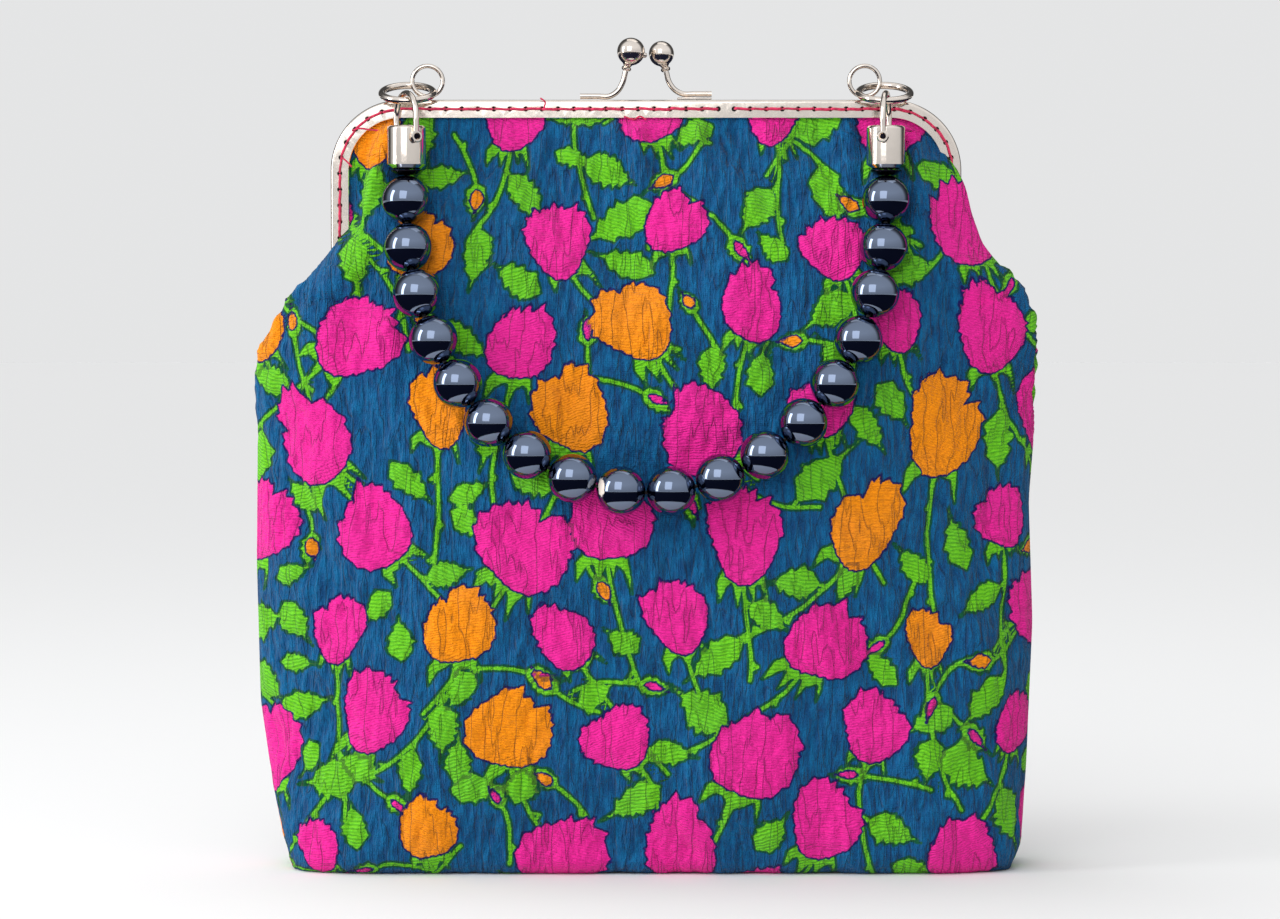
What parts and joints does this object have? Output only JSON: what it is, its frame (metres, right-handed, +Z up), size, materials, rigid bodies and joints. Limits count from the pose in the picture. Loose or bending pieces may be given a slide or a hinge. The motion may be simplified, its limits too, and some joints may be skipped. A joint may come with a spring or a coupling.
{
  "type": "clasp frame handbag",
  "caption": "Fabric handbag sewn into a hinged metal clasp frame with a kiss lock, with a handle of strung round beads hung from two rings.",
  "frame": {"origin": "middle of the bag's base, on the surface that it stands on", "axes": "+X to the right seen from the front, the front with the hanging handle faces -Y, +Z up"},
  "size_m": [0.2534, 0.0739, 0.2705],
  "materials": {
    "nickel": "polished nickel plating",
    "plated_bead": "mirror gunmetal plating over plastic",
    "dark_metal": "black plated, semi-gloss",
    "jacquard": "puffed floral jacquard in blue, pink, green and orange",
    "lining": "plain dark blue twill",
    "bead_cord": "dark braided cord"
  },
  "bodies": {
    "bag": {"bag_body": "jacquard", "bag_lining": "lining", "left_hinge_rivet": "nickel", "right_hinge_rivet": "nickel"},
    "front_half": {"front_frame": "nickel", "front_upper_panel": "jacquard", "front_clasp_arm": "nickel", "front_clasp_ball": "nickel", "left_loop": "nickel", "right_loop": "nickel"},
    "rear_half": {"rear_frame": "nickel", "rear_upper_panel": "jacquard", "rear_clasp_seat": "nickel", "rear_clasp_arm": "nickel", "rear_clasp_ball": "nickel"},
    "left_ring": {"left_ring": "nickel"},
    "right_ring": {"right_ring": "nickel"},
    "handle": {"left_bail": "nickel", "left_bail_pin": "nickel", "left_end_cap": "nickel", "left_bead_cap": "dark_metal", "right_bail": "nickel", "right_bail_pin": "nickel", "right_end_cap": "nickel", "right_bead_cap": "dark_metal", "bead_01": "plated_bead", "bead_02": "plated_bead", "bead_03": "plated_bead", "bead_04": "plated_bead", "bead_05": "plated_bead", "bead_06": "plated_bead", "bead_07": "plated_bead", "bead_08": "plated_bead", "bead_09": "plated_bead", "bead_10": "plated_bead", "bead_11": "plated_bead", "bead_12": "plated_bead", "bead_13": "plated_bead", "bead_14": "plated_bead", "bead_15": "plated_bead", "bead_16": "plated_bead", "bead_17": "plated_bead", "bead_18": "plated_bead", "handle_cord": "bead_cord"}
  },
  "joints": [
    {"name": "front_opening", "type": "hinge", "parent": "bag", "child": "front_half", "pos_m": [0, 0, 0.19], "axis": [1, 0, 0], "range_deg": [0, 35]},
    {"name": "rear_opening", "type": "hinge", "parent": "bag", "child": "rear_half", "pos_m": [0, 0, 0.19], "axis": [-1, 0, 0], "range_deg": [0, 35]},
    {"name": "left_ring_swing", "type": "hinge", "parent": "front_half", "child": "left_ring", "pos_m": [0, -0.00285, 0.2511], "axis": [-1, 0, 0], "range_deg": [0, 35]},
    {"name": "right_ring_swing", "type": "hinge", "parent": "front_half", "child": "right_ring", "pos_m": [0, -0.00285, 0.2511], "axis": [-1, 0, 0], "range_deg": [0, 35]},
    {"name": "handle_swing", "type": "hinge", "parent": "left_ring", "child": "handle", "pos_m": [0, -0.0152, 0.24915], "axis": [-1, 0, 0], "range_deg": [0, 170]}
  ],
  "couplings": [
    {"joint": "rear_opening", "follows": "front_opening", "ratio": 1},
    {"joint": "left_ring_swing", "follows": "front_opening", "ratio": 1},
    {"joint": "right_ring_swing", "follows": "front_opening", "ratio": 1}
  ]
}
